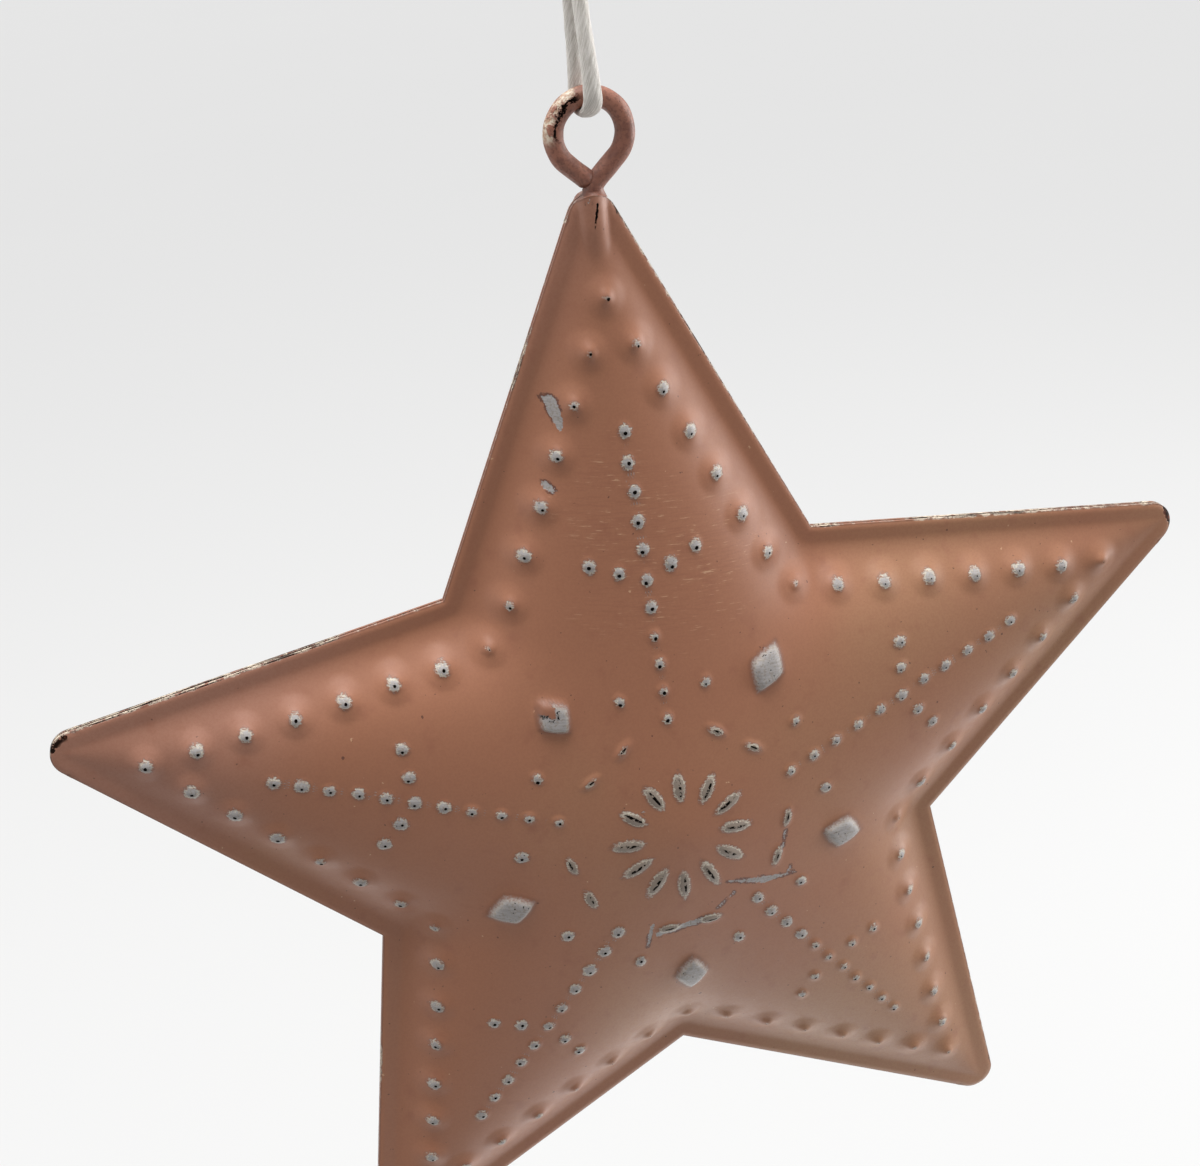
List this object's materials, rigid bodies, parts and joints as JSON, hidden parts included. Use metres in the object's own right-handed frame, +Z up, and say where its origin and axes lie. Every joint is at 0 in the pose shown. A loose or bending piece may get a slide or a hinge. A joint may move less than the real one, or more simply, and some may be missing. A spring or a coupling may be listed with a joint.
{
  "type": "pressed tin star ornament",
  "caption": "Hollow pressed tin star of two domed, punched halves soldered at a flange, hung by a bent wire eye from a doubled cord with a knot.",
  "frame": {"origin": "on the hanging line, under the knot, where the doubled cord is held", "axes": "+Z up along the hanging line, the front of the star faces -Y, +X to the right seen from the front"},
  "size_m": [0.0998, 0.018, 0.1228],
  "materials": {
    "salmon_paint": "worn satin salmon paint over pale primer on tin plate",
    "eye_paint": "the same paint on the wire, darker and flaked",
    "solder": "dull dark solder",
    "cord_cotton": "off-white waxed cotton cord"
  },
  "bodies": {
    "knot": {"cord_knot": "cord_cotton"},
    "cord": {"cord_loop": "cord_cotton"},
    "star": {"front_shell": "salmon_paint", "back_shell": "salmon_paint", "seam_solder": "solder", "hanging_eye": "eye_paint", "neck_solder": "eye_paint"}
  },
  "joints": [
    {"name": "cord_twist", "type": "hinge", "parent": "knot", "child": "cord", "pos_m": [0, 0, 0], "axis": [0, 0, 1], "range_deg": [-180, 180]},
    {"name": "star_swing", "type": "hinge", "parent": "cord", "child": "star", "pos_m": [0, 0, -0.014], "axis": [1, 0, 0], "range_deg": [-140, 140]}
  ]
}
